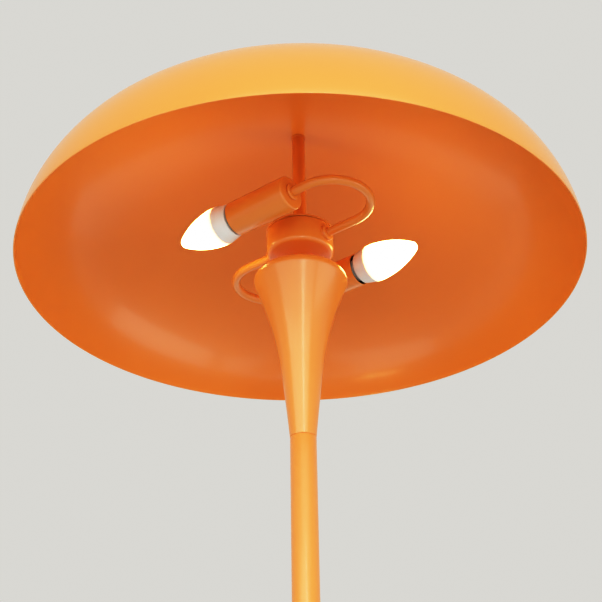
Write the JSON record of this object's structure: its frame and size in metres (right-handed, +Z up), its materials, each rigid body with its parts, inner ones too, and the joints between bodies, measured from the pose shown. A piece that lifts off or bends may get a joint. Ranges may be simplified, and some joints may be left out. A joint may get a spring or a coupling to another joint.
{
  "type": "floor lamp",
  "caption": "Mushroom floor lamp: a spun dome shade over two candle bulbs on looped arms, a trumpet neck on a slim stem and a round weighted base.",
  "frame": {"origin": "centre of the foot pad's underside, on the floor under the stem", "axes": "+Z up along the stem; +Y away from a person who faces the lamp as in the picture; +X to their right"},
  "size_m": [0.4999, 0.5, 1.4996],
  "materials": {
    "orange_coat": "satin powder coat",
    "cast_iron": "as cast",
    "foot_rubber": "matte",
    "black_rubber": "matte",
    "zinc": "zinc plated",
    "terminal_plastic": "moulded",
    "lead_sheath": "silicone sheath",
    "black_plastic": "moulded",
    "contact_brass": "plain",
    "cap_nickel": "nickel plated",
    "bulb_housing": "white moulded",
    "board_metal": "plain",
    "bulb_opal": "opal diffuser"
  },
  "bodies": {
    "lamp": {"base_pad": "foot_rubber", "base_weight": "cast_iron", "base_cover": "orange_coat", "cord_grommet": "black_rubber", "base_washer": "zinc", "base_nut": "zinc", "base_stud": "zinc", "foot_collar": "orange_coat", "stem_lower_tube": "orange_coat", "stem_upper_tube": "orange_coat", "stem_foot_insert": "zinc", "stem_middle_insert": "zinc", "trumpet_insert": "zinc", "stem_middle_coupler": "zinc", "stem_top_coupler": "zinc", "trumpet": "orange_coat", "trumpet_washer": "zinc", "neck_sleeve": "orange_coat", "hub_body": "orange_coat", "hub_lid": "orange_coat", "rod_locknuts": "zinc", "centre_rod": "zinc", "terminal_block": "terminal_plastic", "arm_locknuts": "zinc", "rod_sleeve": "orange_coat", "seat_ring": "orange_coat", "left_arm": "orange_coat", "left_hub_ferrule": "orange_coat", "left_arm_lead": "lead_sheath", "left_holder_sleeve": "orange_coat", "left_holder_ferrule": "orange_coat", "left_lampholder": "black_plastic", "left_socket_shell": "contact_brass", "left_socket_contact": "contact_brass", "right_arm": "orange_coat", "right_hub_ferrule": "orange_coat", "right_arm_lead": "lead_sheath", "right_holder_sleeve": "orange_coat", "right_holder_ferrule": "orange_coat", "right_lampholder": "black_plastic", "right_socket_shell": "contact_brass", "right_socket_contact": "contact_brass"},
    "shade": {"shade": "orange_coat"},
    "finial_washer": {"finial_washer": "orange_coat"},
    "finial": {"finial": "orange_coat"},
    "left_bulb": {"left_bulb_contact": "contact_brass", "left_bulb_insulator": "black_plastic", "left_bulb_cap": "cap_nickel", "left_bulb_collar": "bulb_housing", "left_bulb_board": "board_metal", "left_bulb_diffuser": "bulb_opal"},
    "right_bulb": {"right_bulb_contact": "contact_brass", "right_bulb_insulator": "black_plastic", "right_bulb_cap": "cap_nickel", "right_bulb_collar": "bulb_housing", "right_bulb_board": "board_metal", "right_bulb_diffuser": "bulb_opal"}
  },
  "joints": [
    {"name": "shade_lift", "type": "slide", "parent": "lamp", "child": "shade", "axis": [0, 0, 1], "range_m": [0, 0.2]},
    {"name": "finial_lift", "type": "slide", "parent": "shade", "child": "finial_washer", "axis": [0, 0, 1], "range_m": [0, 0.0081]},
    {"name": "finial_turn", "type": "hinge", "parent": "finial_washer", "child": "finial", "pos_m": [0, 0, 1.49], "axis": [0, 0, 1], "range_deg": [0, 2880]},
    {"name": "left_bulb_out", "type": "slide", "parent": "lamp", "child": "left_bulb", "axis": [-0.788, 0.6157, 0], "range_m": [0, 0.045]},
    {"name": "right_bulb_out", "type": "slide", "parent": "lamp", "child": "right_bulb", "axis": [0.788, -0.6157, 0], "range_m": [0, 0.045]}
  ],
  "couplings": [
    {"joint": "finial_lift", "follows": "finial_turn", "m_per_rad": 0.00015915}
  ]
}
